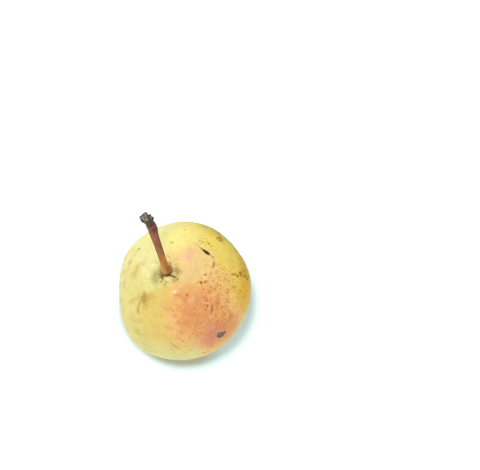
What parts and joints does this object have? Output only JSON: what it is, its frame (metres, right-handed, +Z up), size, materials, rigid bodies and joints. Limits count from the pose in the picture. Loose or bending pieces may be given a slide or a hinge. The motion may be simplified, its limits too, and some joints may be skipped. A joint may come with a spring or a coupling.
{
  "type": "pear",
  "caption": "Small round fresh pear with a yellow skin blushed orange, a slender woody stem in its top hollow and dried flower remains underneath.",
  "frame": {"origin": "on the surface the pear rests on, under the middle of its box", "axes": "+Z up, from the eye to the stem; the stem leans towards +Y and -X; the camera of the picture looks towards +Y and down"},
  "size_m": [0.0602, 0.063, 0.0853],
  "materials": {
    "skin": "satin",
    "bark": "matte",
    "dried_flower": "matte"
  },
  "bodies": {
    "root": {"fruit": "skin", "stem": "bark", "stamen_tuft": "dried_flower", "sepal_1": "dried_flower", "sepal_2": "dried_flower", "sepal_3": "dried_flower", "sepal_4": "dried_flower", "sepal_5": "dried_flower"}
  },
  "joints": []
}
